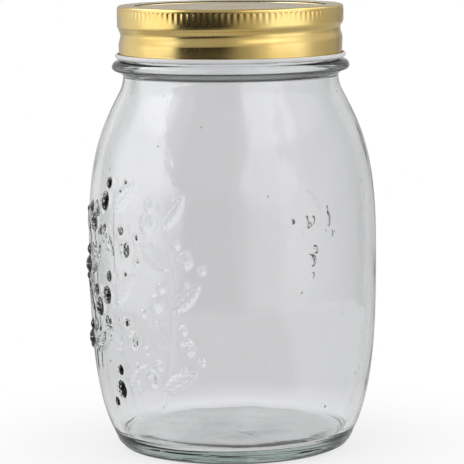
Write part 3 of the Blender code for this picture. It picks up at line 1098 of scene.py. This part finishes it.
def add_floor(settings):
    """A round white floor just under the jar."""
    gap = 0.0001
    bm = bmesh.new()
    bmesh.ops.create_circle(bm, cap_ends=True, segments=128, radius=settings.floor_radius)
    bmesh.ops.translate(bm, verts=bm.verts, vec=(0, 0, -gap))
    mesh = bpy.data.meshes.new("floor")
    bm.to_mesh(mesh)
    bm.free()
    mesh.materials.append(white_floor(settings))
    floor = bpy.data.objects.new("floor", mesh)
    bpy.context.scene.collection.objects.link(floor)


def studio_light(settings, from_front, rise):
    """What gloss shows by the angle from the camera: two screens and the gap between them, their
    reflection in the floor below the horizon, and a plain ceiling above. Angles are in degrees."""
    left = from_front.levels((-165, 0), (-150, 0.45), (-112, 0.6), (-90, 1), (-64, 1), (-53, 0))
    right = from_front.levels(
        (-6, 0), (16, 0.3), (33, 0.5), (46, 1), (70, 1), (98, 0.38), (132, 0.3), (160, 0)
    )
    screens = left * settings.left_light + right * settings.right_light
    low_left = from_front.levels((-165, 0.3), (-110, 0.8), (-82, 0.78), (-58, 0.25), (-40, 0.08))
    low_right = from_front.levels((-16, 0.02), (16, 0.3), (44, 0.8), (70, 0.76), (105, 0.5), (150, 0.4))
    low = low_left + low_right
    behind = from_front.math("ABSOLUTE").ramp(135, 165)
    high = screens * 0.5 + settings.gap_light + 0.42
    light = low + (screens + settings.gap_light - low) * rise.ramp(-12, -8.5)
    light = light + (high - light) * rise.ramp(0, 14)
    upper = from_front.between(-150, -66, 5) * 1.9 + from_front.between(15, 140, 8) * 1.1
    light = light + upper * rise.between(29, 56, 6)
    light = light + (settings.ceiling - light) * rise.ramp(50, 66)
    return light + behind * (settings.backdrop - light)


def glass_light(settings, from_front, rise, depth):
    """What shows through glass: the backdrop with its lighter cards, and, where a wall alone bends the
    view far, the dark sides and screens. Angles are in degrees."""
    shallow = depth.ramp(2.5, 3.5, 1, 0)
    light = settings.surround
    dark = (from_front.between(66, 134, 8) + from_front.between(-137, -118, 6)) * shallow
    bright = (from_front.between(-118, -49, 6) + from_front.between(12, 66, 6) * 0.7) * shallow
    gap = from_front.between(-49, 12, 6) * shallow
    right = from_front.between(134, 178, 6) * 0.06
    card = from_front.between(177.3, 179.3, 0.25) * rise.ramp(-7.5, -6) * 0.07
    edge = from_front - rise.ramp(-6.4, -4.6, 0, 1.8)
    left = edge.ramp(-178.3, -177.5) * from_front.ramp(-150, -137, 1, 0)
    left = left * rise.levels((-9, 0.06), (-7.6, 0.09), (-5.2, 0.2))
    light = light + dark * (0.1 - light) + bright * (1.25 - light) + gap * (0.12 - light)
    return light + right + card + left


def set_world(settings):
    """White to the camera, even light for matt surfaces, and screens with a gap for gloss and glass."""
    world = bpy.data.worlds.new("studio")
    world.use_nodes = True
    bpy.context.scene.world = world
    tree = Tree(world.node_tree)
    place = tree.add("ShaderNodeTexCoord", {}, {}, "Generated")
    x, y, z = (tree.add("ShaderNodeSeparateXYZ", {}, {0: place}, axis) for axis in "XYZ")
    from_front = x.math("ARCTAN2", -y) * (180 / math.pi)
    rise = z.math("ARCSINE") * (180 / math.pi)
    through = light_path(tree, "Is Transmission Ray")
    gloss = light_path(tree, "Is Glossy Ray") * (1 - through)
    depth = light_path(tree, "Transmission Depth")
    seen = glass_light(settings, from_front, rise, depth)
    light = gloss * studio_light(settings, from_front, rise) + through * seen
    sideways = x * x * 0.8 + z.ramp(0.3, 0.8, 0, 0.6)
    light = light + light_path(tree, "Is Diffuse Ray") * (sideways + settings.even_light)
    light = light + light_path(tree, "Is Camera Ray")
    sky = tree.add("ShaderNodeBackground", {}, {"Color": (1, 1, 1, 1), "Strength": light})
    tree.add("ShaderNodeOutputWorld", {}, {"Surface": sky})


class JAR_OT_stage(bpy.types.Operator):
    """Adds the floor, the studio's light and the camera"""

    bl_idname = "jar.stage"
    bl_label = "Stage"

    def execute(self, context):
        settings = context.scene.jar.stage
        add_camera()
        add_floor(settings)
        set_world(settings)
        context.scene.view_settings.view_transform = "Standard"
        return {"FINISHED"}


class JAR_PT_panel(bpy.types.Panel):
    """The jar's panel in the sidebar of the 3D view."""

    bl_label = "Preserving Jar"
    bl_idname = "JAR_PT_panel"
    bl_space_type = "VIEW_3D"
    bl_region_type = "UI"
    bl_category = "Jar"

    def draw(self, context):
        settings = context.scene.jar
        for operator, group in (
            (JAR_OT_stage, settings.stage),
            (JAR_OT_glass, settings.glass),
            (JAR_OT_disc, settings.disc),
            (JAR_OT_ring, settings.disc),
            (JAR_OT_band, settings.band),
        ):
            box = self.layout.box()
            box.operator(operator.bl_idname)
            for name in group.bl_rna.properties.keys():
                if name not in ("name", "rna_type"):
                    box.prop(group, name)


CLASSES = (
    GlassSettings,
    BandSettings,
    DiscSettings,
    StageSettings,
    JarSettings,
    JAR_OT_stage,
    JAR_OT_glass,
    JAR_OT_disc,
    JAR_OT_ring,
    JAR_OT_band,
    JAR_PT_panel,
)


def register():
    for cls in CLASSES:
        bpy.utils.register_class(cls)
    bpy.types.Scene.jar = PointerProperty(type=JarSettings)


def unregister():
    del bpy.types.Scene.jar
    for cls in reversed(CLASSES):
        bpy.utils.unregister_class(cls)


def main():
    register()
    bpy.ops.jar.stage()
    bpy.ops.jar.glass()
    bpy.ops.jar.lid_disc()
    bpy.ops.jar.sealing_ring()
    bpy.ops.jar.screw_band()


if __name__ == "__main__":
    main()
